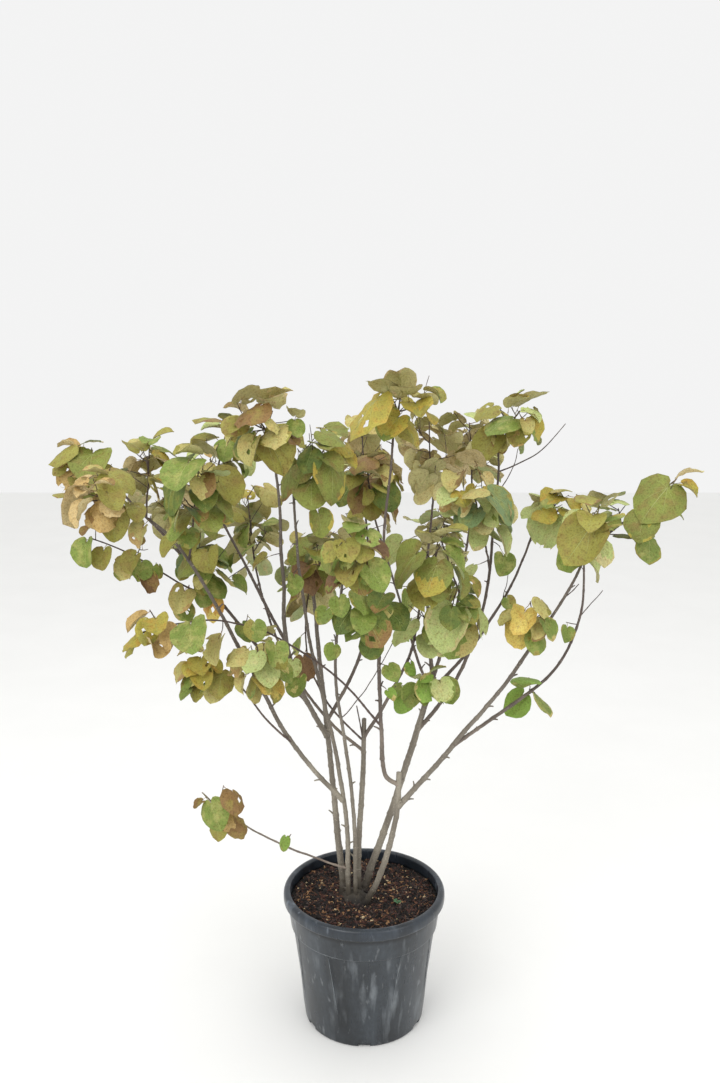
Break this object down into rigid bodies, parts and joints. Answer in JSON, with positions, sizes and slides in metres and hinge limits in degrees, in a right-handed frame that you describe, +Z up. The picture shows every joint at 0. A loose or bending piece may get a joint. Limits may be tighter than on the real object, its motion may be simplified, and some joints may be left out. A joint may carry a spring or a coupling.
{
  "type": "potted redbud",
  "caption": "Young multi-stemmed redbud in a round nursery pot, with an open, spreading crown of heart-shaped leaves turning from green to gold.",
  "frame": {"origin": "centre of the pot's flat underside", "axes": "+Z up along the pot's axis, -Y to the plant's front, +X to the right seen from the front"},
  "size_m": [1.4564, 0.8937, 1.5927],
  "materials": {
    "pot": "scuffed, slightly shiny charcoal plastic",
    "compost": "loose compost under bark chips",
    "bark": "smooth grey bark",
    "young_bark": "smooth grey-brown bark",
    "leaves": "matt leaves from green to gold and brown"
  },
  "bodies": {
    "root": {"bough_back_centre": "young_bark", "bough_back_left": "young_bark", "bough_back_right": "young_bark", "bough_centre_crossing": "young_bark", "bough_centre_tall": "young_bark", "bough_elbow": "young_bark", "bough_far_left_high": "young_bark", "bough_far_left_low": "young_bark", "bough_far_right": "young_bark", "bough_far_right_low": "young_bark", "bough_front_centre": "young_bark", "bough_left_leaning": "young_bark", "bough_left_upright": "young_bark", "bough_right_rising": "young_bark", "bough_right_tall": "young_bark", "bough_right_upright": "young_bark", "leaves_back_centre": "leaves", "leaves_back_left": "leaves", "leaves_back_right": "leaves", "leaves_back_top": "leaves", "leaves_centre": "leaves", "leaves_crown_front": "leaves", "leaves_crown_left": "leaves", "leaves_crown_middle": "leaves", "leaves_dark_pair": "leaves", "leaves_far_left": "leaves", "leaves_far_right": "leaves", "leaves_far_top": "leaves", "leaves_front_centre": "leaves", "leaves_inner_brown": "leaves", "leaves_left_back": "leaves", "leaves_left_front": "leaves", "leaves_left_inner": "leaves", "leaves_left_low": "leaves", "leaves_left_pair": "leaves", "leaves_left_tan": "leaves", "leaves_left_top": "leaves", "leaves_left_under": "leaves", "leaves_low_green": "leaves", "leaves_low_right": "leaves", "leaves_low_sprig": "leaves", "leaves_middle": "leaves", "leaves_right_big": "leaves", "leaves_right_front": "leaves", "leaves_right_gold": "leaves", "leaves_right_inner": "leaves", "leaves_right_low": "leaves", "leaves_right_top": "leaves", "leaves_top": "leaves", "leaves_top_back": "leaves", "leaves_under_gold": "leaves", "pot": "pot", "root_crown": "young_bark", "soil": "compost", "stem_cut": "bark", "stem_dark_left": "bark", "stem_front_right": "bark", "stem_left": "bark", "stem_right": "bark", "stem_slender": "bark"}
  },
  "joints": []
}
